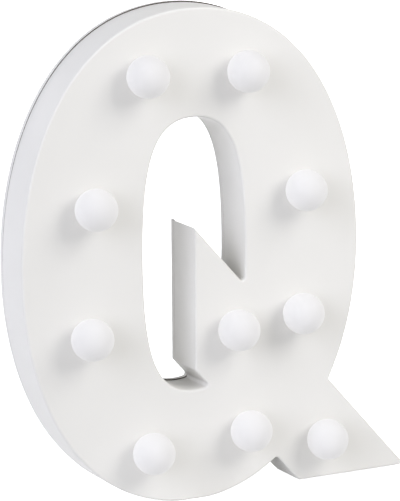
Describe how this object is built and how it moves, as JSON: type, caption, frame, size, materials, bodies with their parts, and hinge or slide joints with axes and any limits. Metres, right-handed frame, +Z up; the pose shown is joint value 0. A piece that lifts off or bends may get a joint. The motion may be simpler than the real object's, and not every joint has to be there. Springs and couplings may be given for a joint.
{
  "type": "light-up letter",
  "caption": "Hollow light-up letter with globe lights on its face, a screwed back cover, a hinged battery door and a slide switch.",
  "frame": {"origin": "centre of the flat under the bowl that the letter stands on, midway between its face and its back", "axes": "+X to the right as the letter is read, +Y from the face to the back, +Z up the letter"},
  "size_m": [0.1895, 0.0406, 0.2205],
  "materials": {
    "shell_white": "satin white",
    "cover_white": "satin white",
    "seal_foam": "dark closed-cell foam",
    "globe_white": "satin opal white",
    "socket_plastic": "natural moulded",
    "led_resin": "warm white resin",
    "screw_steel": "zinc plated",
    "door_white": "satin white",
    "cell_sleeve": "plain printed sleeve, unmarked",
    "contact_steel": "nickel plated",
    "switch_plastic": "black moulded",
    "knob_plastic": "black moulded",
    "wire_red": "insulation",
    "wire_black": "insulation"
  },
  "bodies": {
    "casing": {"front_shell": "shell_white", "back_cover": "cover_white", "seam_seal": "seal_foam", "globe_01": "globe_white", "globe_02": "globe_white", "globe_03": "globe_white", "globe_04": "globe_white", "globe_05": "globe_white", "globe_06": "globe_white", "globe_07": "globe_white", "globe_08": "globe_white", "globe_09": "globe_white", "globe_10": "globe_white", "socket_01": "socket_plastic", "socket_02": "socket_plastic", "socket_03": "socket_plastic", "socket_04": "socket_plastic", "socket_05": "socket_plastic", "socket_06": "socket_plastic", "socket_07": "socket_plastic", "socket_08": "socket_plastic", "socket_09": "socket_plastic", "socket_10": "socket_plastic", "led_01": "led_resin", "led_02": "led_resin", "led_03": "led_resin", "led_04": "led_resin", "led_05": "led_resin", "led_06": "led_resin", "led_07": "led_resin", "led_08": "led_resin", "led_09": "led_resin", "led_10": "led_resin", "cover_screws": "screw_steel", "battery_1": "cell_sleeve", "battery_2": "cell_sleeve", "contact_plus": "contact_steel", "contact_minus": "contact_steel", "contact_bridge": "contact_steel", "switch_body": "switch_plastic", "switch_terminals": "contact_steel", "switch_screws": "screw_steel", "wires_red": "wire_red", "wires_black": "wire_black"},
    "battery_door": {"battery_door": "door_white"},
    "switch_slider": {"switch_slider": "knob_plastic"}
  },
  "joints": [
    {"name": "battery_door_hinge", "type": "hinge", "parent": "casing", "child": "battery_door", "pos_m": [0.02295, 0.0102, 0.07048], "axis": [0.7776, 0, 0.6288], "range_deg": [0, 95]},
    {"name": "switch_slide", "type": "slide", "parent": "casing", "child": "switch_slider", "axis": [0, 0, 1], "range_m": [0, 0.003]}
  ]
}
